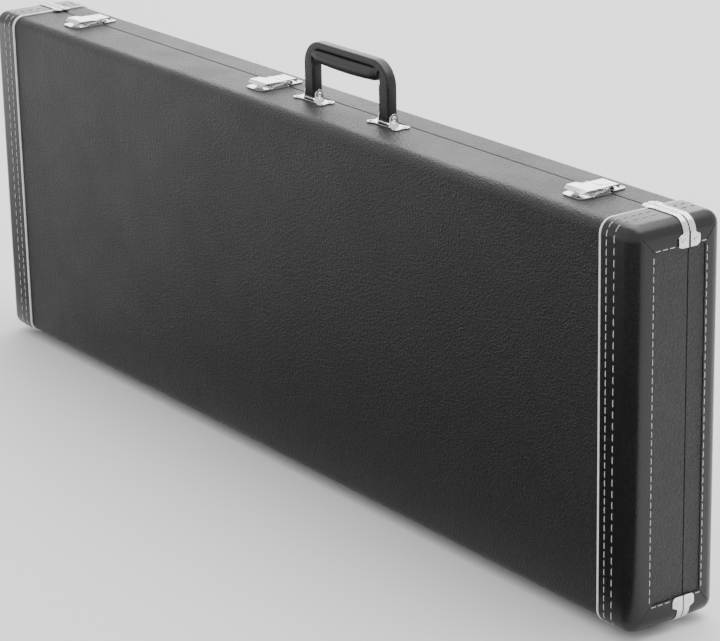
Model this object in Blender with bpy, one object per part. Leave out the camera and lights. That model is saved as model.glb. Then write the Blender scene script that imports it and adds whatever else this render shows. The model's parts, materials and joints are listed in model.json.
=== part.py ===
"""A long rectangular guitar case, standing on its hinge side with the handle up.

Frame: X along the case, Y from the deep shell (the base, at -Y) to the lid (+Y), Z up.
The origin is on the floor, under the middle of the case. Metres.
"""

import math

import bmesh
import bpy
from mathutils import Matrix, Vector

# ---- driving dimensions ----
CASE_LENGTH = 1.050
CASE_HEIGHT = 0.3558
CASE_DEPTH = 0.0963
FOOT_HEIGHT = 0.007
BASE_DEPTH = 0.0585         # the base's share of the depth; the lid has the rest
EDGE_RADIUS = 0.0125        # over the end caps
WALL = 0.005                # plywood
CAP_THICK = 0.0012          # stitched vinyl end cap
CAP_WIDTH = 0.0405          # how far a cap comes in from its end
GAP = 0.0003                # between pieces that touch
SEAM_GAP = 0.0003           # half of the gap between base and lid
PIPING_RADIUS = 0.0012
RIM_THICK = 0.0022          # the lip that guides the lid
RIM_REACH = 0.006           # how far the lip stands into the lid
LINING = 0.003
SHEET = 0.0010              # steel sheet of clamps and latches

# ---- places that follow ----
HALF = CASE_LENGTH / 2
FRONT = -CASE_DEPTH / 2
BACK = CASE_DEPTH / 2
BOTTOM = FOOT_HEIGHT
TOP = BOTTOM + CASE_HEIGHT
SEAM = FRONT + BASE_DEPTH
SKIN = CAP_THICK + GAP      # from an end cap's face in to the body's face
BODY_LOW = Vector((-HALF + SKIN, FRONT + SKIN, BOTTOM + SKIN))
BODY_HIGH = Vector((HALF - SKIN, BACK - SKIN, TOP - SKIN))
BODY_RADIUS = EDGE_RADIUS - SKIN
CAVITY_LOW = BODY_LOW + Vector((WALL, WALL, WALL))
CAVITY_HIGH = BODY_HIGH - Vector((WALL, WALL, WALL))
CAVITY_RADIUS = 0.008
BASE_SIDE, LID_SIDE = -1, 1
FAR = 1.0                   # a cutter's reach

LATCH_PLACES = {"left": -0.405, "middle": -0.057, "right": 0.417}
HINGE_PLACES = {"left": -0.36, "middle": 0.0, "right": 0.36}
HANDLE_POSTS = {"left": 0.015, "right": 0.133}
HANDLE_Y = SEAM - 0.0127
FOOT_X = 0.420

BLACK_VINYL = ("black_vinyl", (0.022, 0.022, 0.024), 0.55, 0.0)
END_VINYL = ("end_vinyl", (0.018, 0.018, 0.019), 0.38, 0.0)
WHITE_PIPING = ("white_piping", (0.82, 0.81, 0.78), 0.35, 0.0)
CHROME = ("chrome", (0.80, 0.80, 0.80), 0.12, 1.0)
HANDLE_VINYL = ("handle_vinyl", (0.02, 0.02, 0.02), 0.40, 0.0)
PLUSH = ("plush", (0.05, 0.05, 0.055), 0.95, 0.0)
WOOD = ("wood", (0.45, 0.30, 0.17), 0.60, 0.0)
RUBBER = ("rubber", (0.03, 0.03, 0.03), 0.70, 0.0)


# ---- helpers ----
def clear_scene():
    for obj in list(bpy.data.objects):
        bpy.data.objects.remove(obj, do_unlink=True)


def material(look):
    """A Principled material from a (name, colour, roughness, metallic) look."""
    name, colour, roughness, metallic = look
    found = bpy.data.materials.get(name)
    if found:
        return found
    made = bpy.data.materials.new(name)
    made.use_nodes = True
    shader = made.node_tree.nodes["Principled BSDF"]
    shader.inputs["Base Color"].default_value = (*colour, 1.0)
    shader.inputs["Roughness"].default_value = roughness
    shader.inputs["Metallic"].default_value = metallic
    return made


def add(name, mesh, look=None, place=(0, 0, 0)):
    """A named object from a mesh, at its place. With no look it is a cutter."""
    obj = bpy.data.objects.new(name, mesh)
    bpy.context.scene.collection.objects.link(obj)
    obj.location = place
    if look:
        mesh.materials.clear()
        mesh.materials.append(material(look))
        mesh.shade_smooth()
        mesh.set_sharp_from_angle(angle=math.radians(35))
    return obj


def mesh_of(bm, name="shape"):
    bmesh.ops.recalc_face_normals(bm, faces=bm.faces)
    mesh = bpy.data.meshes.new(name)
    bm.to_mesh(mesh)
    bm.free()
    return mesh


def box(low, high, radius=0.0, segments=3, only=None):
    """A box mesh, its edges rounded. only is the axis (0, 1, 2) along which edges are rounded."""
    bm = bmesh.new()
    bmesh.ops.create_cube(bm, size=1.0)
    low, high = Vector(low), Vector(high)
    size = high - low
    bmesh.ops.scale(bm, vec=size, verts=bm.verts)
    bmesh.ops.translate(bm, vec=(low + high) / 2, verts=bm.verts)
    if radius:
        edges = bm.edges[:]
        if only is not None:
            along = [(e.verts[0].co - e.verts[1].co) for e in edges]
            edges = [e for e, way in zip(edges, along) if abs(way[only]) > size[only] / 2]
        bmesh.ops.bevel(
            bm, geom=edges, offset=radius, segments=segments, profile=0.5, affect="EDGES"
        )
    return mesh_of(bm)


def cylinder(centre, axis, radius, length, sides=16, end_radius=None):
    """A cylinder or cone mesh centred on a point, along an axis; radius is its start's."""
    bm = bmesh.new()
    bmesh.ops.create_cone(
        bm, cap_ends=True, segments=sides, radius1=radius,
        radius2=radius if end_radius is None else end_radius, depth=length,
    )
    turn = Vector(axis).to_track_quat("Z", "Y").to_matrix().to_4x4()
    bmesh.ops.transform(bm, matrix=Matrix.Translation(centre) @ turn, verts=bm.verts)
    return mesh_of(bm)


def extruded(outline, axis, start, end):
    """A prism mesh: a 2-D outline in the other two axes, in X, Y, Z order, run from start to end."""
    bm = bmesh.new()
    others = [a for a in range(3) if a != axis]
    ring = []
    for point in outline:
        co = [0.0, 0.0, 0.0]
        co[axis] = start
        co[others[0]], co[others[1]] = point
        ring.append(bm.verts.new(co))
    face = bm.faces.new(ring)
    moved = bmesh.ops.extrude_face_region(bm, geom=[face])
    way = [0.0, 0.0, 0.0]
    way[axis] = end - start
    verts = [v for v in moved["geom"] if isinstance(v, bmesh.types.BMVert)]
    bmesh.ops.translate(bm, vec=way, verts=verts)
    return mesh_of(bm)


def loft(sections):
    """A mesh through closed rings of the same number of points, its two ends filled."""
    bm = bmesh.new()
    rings = [[bm.verts.new(co) for co in section] for section in sections]
    count = len(rings[0])
    for near, far in zip(rings, rings[1:]):
        for i in range(count):
            j = (i + 1) % count
            bm.faces.new((near[i], near[j], far[j], far[i]))
    bm.faces.new(rings[0])
    bm.faces.new(list(reversed(rings[-1])))
    return mesh_of(bm)


def combine(mesh, others, operation):
    """mesh with each other mesh cut away (DIFFERENCE), joined (UNION) or kept in common (INTERSECT)."""
    body = add("work", mesh)
    tools = [add("tool", other) for other in others]
    for tool in tools:
        modifier = body.modifiers.new("boolean", "BOOLEAN")
        modifier.operation = operation
        modifier.solver = "EXACT"
        modifier.object = tool
    bpy.context.view_layer.update()
    graph = bpy.context.evaluated_depsgraph_get()
    result = bpy.data.meshes.new_from_object(body.evaluated_get(graph))
    for obj in [body, *tools]:
        bpy.data.objects.remove(obj, do_unlink=True)
    return result


def arc(centre, radius, start, end, steps):
    """Points of a circle's arc, angles in degrees."""
    found = []
    for i in range(steps + 1):
        angle = math.radians(start + (end - start) * i / steps)
        found.append((centre[0] + radius * math.cos(angle), centre[1] + radius * math.sin(angle)))
    return found


def side_cutter(side):
    """Everything on the other shell's side of the seam."""
    if side == BASE_SIDE:
        return box((-FAR, SEAM - SEAM_GAP, -FAR), (FAR, FAR, FAR))
    return box((-FAR, -FAR, -FAR), (FAR, SEAM + SEAM_GAP, FAR))


# ---- shells, caps and piping ----
def make_shell(name, side):
    outer = box(BODY_LOW, BODY_HIGH, BODY_RADIUS)
    inner = box(CAVITY_LOW, CAVITY_HIGH, CAVITY_RADIUS, 2, 1)
    add(name, combine(outer, [inner, side_cutter(side)], "DIFFERENCE"), BLACK_VINYL)


def make_end_cap(name, side, end):
    """The stitched cap over one end (end is -1 or 1) of one shell."""
    outer = box((-HALF, FRONT, BOTTOM), (HALF, BACK, TOP), EDGE_RADIUS)
    gap = Vector((GAP, GAP, GAP))
    body = box(BODY_LOW - gap, BODY_HIGH + gap, BODY_RADIUS + GAP)
    inward = HALF - CAP_WIDTH
    low, high = sorted((-end * FAR, end * inward))
    middle = box((low, -FAR, -FAR), (high, FAR, FAR))
    add(name, combine(outer, [middle, side_cutter(side), body], "DIFFERENCE"), END_VINYL)


def piping_path(side, clear_of_seam):
    """(y, z) points round one shell, from the seam on the top to the seam on the bottom."""
    rise = PIPING_RADIUS + GAP
    radius = BODY_RADIUS + rise
    face = BODY_LOW.y if side == BASE_SIDE else BODY_HIGH.y
    centre_y = face - side * BODY_RADIUS
    high_z, low_z = BODY_HIGH.z - BODY_RADIUS, BODY_LOW.z + BODY_RADIUS
    seam_y = SEAM + side * clear_of_seam
    out = 180 if side == BASE_SIDE else 0
    return [
        (seam_y, high_z + radius),
        *arc((centre_y, high_z), radius, 90, out, 5),
        *arc((centre_y, low_z), radius, out, 270 if side == BASE_SIDE else -90, 5),
        (seam_y, low_z - radius),
    ]


def make_piping(name, side, end):
    x = end * (HALF - CAP_WIDTH - PIPING_RADIUS - GAP)
    points = piping_path(side, CLAMP_TAB + 4 * GAP)
    curve = bpy.data.curves.new(name, "CURVE")
    curve.dimensions = "3D"
    curve.bevel_depth = PIPING_RADIUS
    curve.bevel_resolution = 2
    curve.use_fill_caps = True
    spline = curve.splines.new("POLY")
    spline.points.add(len(points) - 1)
    for point, (y, z) in zip(spline.points, points):
        point.co = (x, y, z, 1.0)
    curve.materials.append(material(WHITE_PIPING))
    obj = bpy.data.objects.new(name, curve)
    bpy.context.scene.collection.objects.link(obj)


# ---- corner clamps ----
CLAMP_STRIP = 0.0064
CLAMP_FOOT = 0.0115
CLAMP_TAB = 0.0085
CLAMP_IN = 0.0510           # from the end of the case to the clamp's inner edge
CLAMP_DROP = 0.0245         # down the end face; the flare starts 11.5 mm above its end, below the bend
RIVET_RADIUS = 0.0021


def clamp_sections(side, end, up):
    """Rectangles across a bent strip: along the top, round the end's edge and down its face."""
    top = TOP if up > 0 else BOTTOM
    lift = GAP
    radius = EDGE_RADIUS + lift
    cx, cz = end * (HALF - EDGE_RADIUS), top - up * EDGE_RADIUS
    near = SEAM + side * 2 * GAP
    places = [
        (Vector((end * (HALF - back), 0, top + up * lift)), Vector((0, 0, up)), width)
        for back, width in (
            (CLAMP_IN, 0.7 * CLAMP_TAB), (CLAMP_IN - 0.002, CLAMP_TAB),
            (CLAMP_IN - 0.010, CLAMP_TAB), (CLAMP_IN - 0.013, CLAMP_STRIP),
        )
    ]
    for i in range(5):
        angle = math.radians(90 * i / 4)
        normal = Vector((end * math.sin(angle), 0, up * math.cos(angle)))
        places.append((Vector((cx, 0, cz)) + radius * normal, normal, CLAMP_STRIP))
    for drop, width in (
        (CLAMP_DROP - 0.0115, CLAMP_STRIP), (CLAMP_DROP - 0.0095, CLAMP_FOOT),
        (CLAMP_DROP - 0.0020, CLAMP_FOOT), (CLAMP_DROP, 0.8 * CLAMP_FOOT),
    ):
        places.append(
            (Vector((end * (HALF + lift), 0, top - up * drop)), Vector((end, 0, 0)), width)
        )
    sections = []
    for spot, normal, width in places:
        inner, outer = spot, spot + SHEET * normal
        far = near + side * width
        sections.append([
            (inner.x, near, inner.z), (inner.x, far, inner.z),
            (outer.x, far, outer.z), (outer.x, near, outer.z),
        ])
    return sections


def make_clamp(name, side, end, up):
    strip = loft(clamp_sections(side, end, up))
    top = TOP if up > 0 else BOTTOM
    y_tab = SEAM + side * (2 * GAP + CLAMP_TAB / 2)
    y_foot = SEAM + side * (2 * GAP + CLAMP_FOOT / 2)
    height = 2 * SHEET
    rivets = [
        cylinder(
            (end * (HALF - CLAMP_IN + 0.006), y_tab, top + up * (GAP + SHEET)),
            (0, 0, up), RIVET_RADIUS, height - 0.0004, 8, 0.6 * RIVET_RADIUS,
        ),
        cylinder(
            (end * (HALF + GAP + SHEET), y_foot, top - up * (CLAMP_DROP - 0.006)),
            (end, 0, 0), RIVET_RADIUS, height - 0.0004, 8, 0.6 * RIVET_RADIUS,
        ),
    ]
    add(name, combine(strip, rivets, "UNION"), CHROME)


# ---- inside: rim, linings, neck block, accessory box ----
RIM_CLEAR = 0.0005
RIM_ROOT = 0.020
CAVITY_MID_Z = (CAVITY_LOW.z + CAVITY_HIGH.z) / 2
FLOOR_Y = CAVITY_LOW.y + GAP + LINING + GAP


def ring(name, clear, thick, y_low, y_high, look, floor=None):
    """A rounded frame inside the cavity, or a tray when floor is its solid end (low or high)."""
    radius = CAVITY_RADIUS - clear
    low = Vector((CAVITY_LOW.x + clear, y_low, CAVITY_LOW.z + clear))
    high = Vector((CAVITY_HIGH.x - clear, y_high, CAVITY_HIGH.z - clear))
    outer = box(low, high, radius, 2, only=1)
    in_low, in_high = low + Vector((thick, 0, thick)), high - Vector((thick, 0, thick))
    in_low.y = y_low + thick if floor == "low" else y_low - 0.01
    in_high.y = y_high - thick if floor == "high" else y_high + 0.01
    inner = box(in_low, in_high, max(radius - thick, 0.003), 2, only=1)
    add(name, combine(outer, [inner], "DIFFERENCE"), look)


NECK_BLOCK_X = (-0.02, 0.03)
NECK_NOTCH = 0.066
NECK_BLOCK_RISE = 0.030
NOTCH_DEPTH = 0.022


def make_neck_block():
    """A padded block across the case, with a notch that the instrument's neck lies in."""
    clear = GAP + LINING + GAP
    low_z, high_z = CAVITY_LOW.z + clear, CAVITY_HIGH.z - clear
    top = FLOOR_Y + NECK_BLOCK_RISE
    half = NECK_NOTCH / 2
    slope = 0.010
    outline = [
        (FLOOR_Y, low_z), (FLOOR_Y, high_z), (top, high_z),
        (top, CAVITY_MID_Z + half + slope), (top - NOTCH_DEPTH, CAVITY_MID_Z + half),
        (top - NOTCH_DEPTH, CAVITY_MID_Z - half), (top, CAVITY_MID_Z - half - slope), (top, low_z),
    ]
    add("neck_block", extruded(outline, 0, *NECK_BLOCK_X), PLUSH)


BOX_X = (-0.290, -0.060)
BOX_HEIGHT = 0.042
BOX_DEPTH = 0.021
BOX_WALL = 0.003
FLAP_THICK = 0.003
FLAP_SLIT = 0.004           # between the flap's hinge edge and the lining


def make_accessory_box():
    """A shallow lined box on the handle's side, and its flap, hinged along its upper edge."""
    high_z = CAVITY_HIGH.z - GAP - LINING - FLAP_SLIT
    low_z = high_z - BOX_HEIGHT
    top = FLOOR_Y + BOX_DEPTH
    outer = box((BOX_X[0], FLOOR_Y, low_z), (BOX_X[1], top, high_z))
    inner = box(
        (BOX_X[0] + BOX_WALL, FLOOR_Y + BOX_WALL, low_z + BOX_WALL),
        (BOX_X[1] - BOX_WALL, top + 0.01, high_z - BOX_WALL),
    )
    add("accessory_box", combine(outer, [inner], "DIFFERENCE"), PLUSH)
    flap_y = top + GAP
    middle_x = sum(BOX_X) / 2
    hinge = Vector((middle_x, flap_y + FLAP_THICK / 2, high_z - FLAP_THICK / 2))
    low = Vector((BOX_X[0], flap_y, low_z)) - hinge
    high = Vector((BOX_X[1], flap_y + FLAP_THICK, high_z)) - hinge
    add("accessory_flap", box(low, high, 0.0014, 2), PLUSH, hinge)
    tab_y = flap_y + FLAP_THICK + GAP
    tab_low = Vector((middle_x - 0.007, tab_y, low_z + 0.002)) - hinge
    tab_high = Vector((middle_x + 0.007, tab_y + 0.0012, low_z + 0.018)) - hinge
    add("flap_pull_tab", box(tab_low, tab_high), END_VINYL, hinge)


# ---- hinges ----
KNUCKLE_RADIUS = 0.0028
HINGE_PIN_RADIUS = 0.0012
HINGE_BORE_RADIUS = 0.0014
LEAF_WIDTH = 0.050
LEAF_LENGTH = 0.024
LEAF_THICK = 0.0012
KNUCKLE_GAP = 0.0004
HINGE_AXIS_Z = BODY_LOW.z - GAP - KNUCKLE_RADIUS
KNUCKLE_SPANS = {BASE_SIDE: ((-0.025, -0.009), (0.009, 0.025)), LID_SIDE: ((-0.009, 0.009),)}


def make_leaf(name, side, x):
    """One leaf of a hinge, under one shell, with the knuckles that it carries."""
    top, low = BODY_LOW.z - GAP, BODY_LOW.z - GAP - LEAF_THICK
    inner_y = SEAM + side * (KNUCKLE_RADIUS + 2 * GAP)
    outer_y = SEAM + side * LEAF_LENGTH
    y_low, y_high = sorted((inner_y, outer_y))
    plate = box((x - LEAF_WIDTH / 2, y_low, low), (x + LEAF_WIDTH / 2, y_high, top), 0.006, 2, 2)
    pieces = []
    for start, end in KNUCKLE_SPANS[side]:
        start, end = x + start + KNUCKLE_GAP / 2, x + end - KNUCKLE_GAP / 2
        pieces.append(
            cylinder(((start + end) / 2, SEAM, HINGE_AXIS_Z), (1, 0, 0), KNUCKLE_RADIUS, end - start)
        )
        y_low, y_high = sorted((SEAM + side * 0.0004, inner_y + side * 0.004))
        pieces.append(box((start, y_low, low + 0.0001), (end, y_high, top - 0.0001)))
    leaf = combine(plate, pieces, "UNION")
    bore = cylinder(
        (x, SEAM, HINGE_AXIS_Z), (1, 0, 0), HINGE_BORE_RADIUS, 2 * LEAF_WIDTH
    )
    add(name, combine(leaf, [bore], "DIFFERENCE"), CHROME)


def make_hinges():
    for where, x in HINGE_PLACES.items():
        make_leaf(f"hinge_base_leaf_{where}", BASE_SIDE, x)
        make_leaf(f"hinge_lid_leaf_{where}", LID_SIDE, x)
        pin = cylinder((0, 0, 0), (1, 0, 0), HINGE_PIN_RADIUS, LEAF_WIDTH, 12)
        add(f"hinge_pin_{where}", pin, CHROME, (x, SEAM, HINGE_AXIS_Z))


# ---- latches: base plate, lever, link and catch; w is height over the body's top face ----
LATCH_HALF = 0.0140
LATCH_FRONT = SEAM - 0.0307
LEVER_PIVOT_Y = SEAM - 0.0047
LEVER_PIVOT_W = 0.0040
LINK_PIN_Y = LEVER_PIVOT_Y - 0.0090
LINK_PIN_RADIUS = 0.0010
STUB_RADIUS = 0.0012
RUNNING = 0.0002            # how much wider a hole's radius is than its pin's
EAR_IN = 0.0129             # from the latch's middle to an ear's inner side
FLANGE_IN = 0.0113
EAR_RADIUS = 0.0022
LINK_HALF = 0.0105
LINK_LOW, LINK_HIGH = 0.0050, 0.0062
PLATE_TOP = GAP + 0.0012
LEVER_LOW, LEVER_HIGH = 0.0066, 0.0076
CROSSBAR_Y = (SEAM + 0.0089, SEAM + 0.0107)


def up(w):
    return BODY_HIGH.z + w


def latch_base_mesh():
    """A plate with a round front and two ears, holed for the lever's stubs. Its middle is at x = 0."""
    end_y = SEAM - SEAM_GAP - 0.0008
    corner = 0.010
    front_arc = arc((0, LATCH_FRONT + corner), LATCH_HALF, 200, 340, 7)
    outline = [(-LATCH_HALF, end_y), *front_arc, (LATCH_HALF, end_y)]
    plate = extruded(outline, 2, up(GAP), up(PLATE_TOP))
    pieces = []
    ear = [
        (LEVER_PIVOT_Y - 0.0120, up(GAP + 0.0004)), (LEVER_PIVOT_Y - 0.0100, up(0.0034)),
        (LEVER_PIVOT_Y - 0.0030, up(0.0036)),
        *arc((LEVER_PIVOT_Y, up(LEVER_PIVOT_W)), EAR_RADIUS, 150, 0, 6),
        (LEVER_PIVOT_Y + EAR_RADIUS, up(GAP + 0.0004)),
    ]
    for way in (-1, 1):
        x_low, x_high = sorted((way * EAR_IN, way * (EAR_IN + SHEET)))
        pieces.append(extruded(ear, 0, x_low, x_high))
    for y in (LATCH_FRONT + 0.004, end_y - 0.004):
        pieces.append(cylinder((0, y, up(PLATE_TOP)), (0, 0, 1), 0.0022, 0.001, 8, 0.0012))
    plate = combine(plate, pieces, "UNION")
    bore = cylinder(
        (0, LEVER_PIVOT_Y, up(LEVER_PIVOT_W)), (1, 0, 0), STUB_RADIUS + RUNNING, 0.1, 12
    )
    return combine(plate, [bore], "DIFFERENCE")


def latch_lever_mesh():
    """A nose plate with a finger lip, two side arms, and stubs that turn in the ears."""
    rear = LINK_PIN_Y - 0.0030
    front = LATCH_FRONT - 0.0008
    side_outline = [
        (rear, up(LEVER_LOW)), (rear, up(LEVER_HIGH)), (front + 0.004, up(LEVER_HIGH)),
        (front, up(LEVER_HIGH - 0.0022)), (front, up(LEVER_LOW - 0.0026)),
        (front + 0.004, up(LEVER_LOW)),
    ]
    plate = extruded(side_outline, 0, -LATCH_HALF, LATCH_HALF)
    arm = [
        (front + 0.005, up(LEVER_LOW + 0.0004)), (LINK_PIN_Y - 0.0035, up(0.0024)),
        (LEVER_PIVOT_Y - 0.0012, up(LEVER_PIVOT_W - EAR_RADIUS + 0.0004)),
        *arc((LEVER_PIVOT_Y, up(LEVER_PIVOT_W)), EAR_RADIUS - 0.0004, -90, 90, 6),
        (LINK_PIN_Y + 0.0020, up(LEVER_LOW)), (LINK_PIN_Y, up(LEVER_LOW + 0.0004)),
    ]
    pieces = []
    for way in (-1, 1):
        x_low, x_high = sorted((way * FLANGE_IN, way * (FLANGE_IN + SHEET)))
        pieces.append(extruded(arm, 0, x_low, x_high))
        pieces.append(
            cylinder(
                (way * (FLANGE_IN + 0.0014), LEVER_PIVOT_Y, up(LEVER_PIVOT_W)),
                (1, 0, 0), STUB_RADIUS, 0.0022, 12,
            )
        )
    lever = combine(plate, pieces, "UNION")
    bore = cylinder(
        (0, LINK_PIN_Y, up(LEVER_PIVOT_W)), (1, 0, 0), LINK_PIN_RADIUS + RUNNING, 0.1, 12
    )
    return combine(lever, [bore], "DIFFERENCE")


def latch_link_mesh():
    """A plate rolled round the link pin, its far edge turned down behind the catch's tongue."""
    barrel = 0.0022
    outline = [
        *arc((LINK_PIN_Y, up(LEVER_PIVOT_W)), barrel, 90, 360, 9),
        (LINK_PIN_Y + 0.0030, up(LINK_LOW)), (CROSSBAR_Y[0], up(LINK_LOW)),
        (CROSSBAR_Y[0], up(0.0031)), (CROSSBAR_Y[1], up(0.0031)),
        (CROSSBAR_Y[1], up(LINK_HIGH - 0.0006)), (CROSSBAR_Y[1] - 0.0006, up(LINK_HIGH)),
    ]
    link = extruded(outline, 0, -LINK_HALF, LINK_HALF)
    bore = cylinder(
        (0, LINK_PIN_Y, up(LEVER_PIVOT_W)), (1, 0, 0), LINK_PIN_RADIUS + RUNNING, 0.1, 12
    )
    return combine(link, [bore], "DIFFERENCE")


def latch_catch_mesh():
    """A lobed plate on the lid, with a tongue that the link's crossbar pulls on."""
    start = SEAM + SEAM_GAP + 0.0008
    end = SEAM + 0.0188
    lobe = 0.0044
    outline = [(-0.0105, start), (-0.0105, start + 0.006)]
    outline += arc((-0.0060, end - lobe), lobe, 180, 45, 4)
    outline += arc((0.0060, end - lobe), lobe, 135, 0, 4)
    outline += [(0.0105, start + 0.006), (0.0105, start)]
    plate = extruded(outline, 2, up(GAP), up(PLATE_TOP))
    tongue = box((-0.0065, CROSSBAR_Y[0] - 0.0016, up(GAP + 0.0004)),
                 (0.0065, CROSSBAR_Y[0] - 0.0004, up(0.0028)))
    return combine(plate, [tongue], "UNION")


def moved(mesh, by):
    mesh.transform(Matrix.Translation(by))
    return mesh


def make_latches():
    pivot = Vector((0, LEVER_PIVOT_Y, up(LEVER_PIVOT_W)))
    link_pin = Vector((0, LINK_PIN_Y, up(LEVER_PIVOT_W)))
    pin = cylinder((0, 0, 0), (1, 0, 0), LINK_PIN_RADIUS, 0.0244, 10)
    shapes = (
        ("latch_base", latch_base_mesh(), Vector((0, 0, 0))),
        ("latch_lever", moved(latch_lever_mesh(), -pivot), pivot),
        ("latch_link", moved(latch_link_mesh(), -link_pin), link_pin),
        ("latch_catch", latch_catch_mesh(), Vector((0, 0, 0))),
        ("latch_link_pin", pin, link_pin),
    )
    for where, x in LATCH_PLACES.items():
        for name, mesh, place in shapes:
            add(f"{name}_{where}", mesh, CHROME, place + Vector((x, 0, 0)))


# ---- handle ----
POST_W = 0.0080             # the pins' height over the body's top face
HANDLE_HIGH = 0.0595
LEG_HALF_X, LEG_HALF_Y = 0.0075, 0.0055
TOP_HALF = 0.0036           # half thickness of the strap over the grip
BEND = 0.020
PIN_RADIUS = 0.0015


def strap_stations():
    """(x, w, in-plane normal, half size across it, half size in Y), left foot to right foot."""
    left, right = HANDLE_POSTS["left"], HANDLE_POSTS["right"]
    high = HANDLE_HIGH - TOP_HALF
    stations = []
    for angle in (80, 60, 40, 20, 0):
        turn = math.radians(angle)
        w = POST_W - LEG_HALF_Y * math.sin(turn)
        stations.append((left, w, 180, LEG_HALF_X, LEG_HALF_Y * math.cos(turn)))
    stations.append((left, 0.030, 180, LEG_HALF_X, LEG_HALF_Y))
    for i in range(5):
        angle = 180 - 22.5 * i
        turn = math.radians(angle)
        half = LEG_HALF_X + (TOP_HALF - LEG_HALF_X) * i / 4
        reach = BEND - (LEG_HALF_X - TOP_HALF) * (4 - i) / 4
        x = left + BEND - LEG_HALF_X + TOP_HALF + reach * math.cos(turn)
        stations.append((x, high - BEND + reach * math.sin(turn), angle, half, LEG_HALF_Y))
    middle = (left + right) / 2
    mirrored = [(2 * middle - x, w, 180 - a, half, y) for x, w, a, half, y in reversed(stations)]
    return stations + mirrored


def rounded_rectangle(half_a, half_b, corner, steps=2):
    """Points round a rectangle with round corners, about its middle."""
    corner = min(corner, 0.9 * half_a, 0.9 * half_b)
    points = []
    for a, b, start in ((1, 1, 0), (-1, 1, 90), (-1, -1, 180), (1, -1, 270)):
        points += arc((a * (half_a - corner), b * (half_b - corner)), corner, start, start + 90, steps)
    return points


def make_handle():
    sections = []
    for x, w, angle, half, half_y in strap_stations():
        turn = math.radians(angle)
        normal = Vector((math.cos(turn), 0, math.sin(turn)))
        spot = Vector((x, HANDLE_Y, up(w)))
        sections.append([
            spot + a * normal + Vector((0, b, 0))
            for a, b in rounded_rectangle(half, half_y, 0.0025)
        ])
    strap = loft(sections)
    bores = [
        cylinder((x, HANDLE_Y, up(POST_W)), (1, 0, 0), PIN_RADIUS + RUNNING, 0.03, 12)
        for x in HANDLE_POSTS.values()
    ]
    add("handle_strap", combine(strap, bores, "DIFFERENCE"), HANDLE_VINYL)
    make_grip()
    for where, x in HANDLE_POSTS.items():
        pin = cylinder((0, 0, 0), (1, 0, 0), PIN_RADIUS, 0.0210, 12)
        add(f"handle_pin_{where}", pin, CHROME, (x, HANDLE_Y, up(POST_W)))
        make_handle_plate(where, x)


def make_grip():
    """The padded roll under the strap, fullest in the middle."""
    start = HANDLE_POSTS["left"] + LEG_HALF_X + 0.0010
    end = HANDLE_POSTS["right"] - LEG_HALF_X - 0.0010
    high = HANDLE_HIGH - 2 * TOP_HALF - GAP
    sections = []
    steps = 8
    for i in range(steps + 1):
        share = i / steps
        bulge = math.sin(math.pi * share)
        half_w = 0.0058 + 0.0018 * bulge
        half_y = 0.0085 + 0.0010 * bulge
        pinch = 0.7 if i in (0, steps) else 1.0
        x = start + (end - start) * share
        drop = 0.0048 * max(0.0, 1 - min(i, steps - i) / 2)
        middle = Vector((x, HANDLE_Y, up(high - half_w - drop)))
        sections.append([
            middle + Vector((0, pinch * half_y * math.cos(a), pinch * half_w * math.sin(a)))
            for a in (2 * math.pi * k / 14 for k in range(14))
        ])
    add("handle_grip", loft(sections), HANDLE_VINYL)


def make_handle_plate(where, x):
    """A four-lobed plate with two ears that carry one of the handle's pins."""
    half_x, half_y, lobe = 0.0235, 0.0095, 0.0042
    outline = []
    for a, b, start in ((1, 1, -60), (-1, 1, 60), (-1, -1, 120), (1, -1, 240)):
        centre = (x + a * (half_x - lobe), HANDLE_Y + b * (half_y - lobe))
        outline += arc(centre, lobe, start, start + 180, 4)
        if a * b > 0:
            outline.append((x, HANDLE_Y + b * 0.0062))
    plate = extruded(outline, 2, up(GAP), up(PLATE_TOP))
    pieces = []
    for way in (-1, 1):
        x_low, x_high = sorted((x + way * 0.0083, x + way * 0.0095))
        ear = [(HANDLE_Y - 0.0045, up(GAP + 0.0004)),
               *arc((HANDLE_Y, up(POST_W)), 0.0045, 180, 0, 6),
               (HANDLE_Y + 0.0045, up(GAP + 0.0004))]
        pieces.append(extruded(ear, 0, x_low, x_high))
    for a in (-1, 1):
        for b in (-1, 1):
            spot = (x + a * (half_x - lobe), HANDLE_Y + b * (half_y - lobe), up(PLATE_TOP))
            pieces.append(cylinder(spot, (0, 0, 1), 0.0022, 0.001, 8, 0.0012))
    plate = combine(plate, pieces, "UNION")
    bore = cylinder((x, HANDLE_Y, up(POST_W)), (1, 0, 0), PIN_RADIUS + RUNNING, 0.05, 12)
    add(f"handle_plate_{where}", combine(plate, [bore], "DIFFERENCE"), CHROME)


# ---- feet ----
def make_feet():
    """Domed glides, two under the base and two under the lid."""
    length = BODY_LOW.z - GAP
    for name, y in (("base", FRONT + 0.030), ("lid", BACK - 0.018)):
        for where, x in (("left", -FOOT_X), ("right", FOOT_X)):
            foot = cylinder((0, 0, length / 2), (0, 0, 1), 0.0060, length, 20, 0.0085)
            add(f"{name}_foot_{where}", foot, RUBBER, (x, y, 0))


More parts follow.
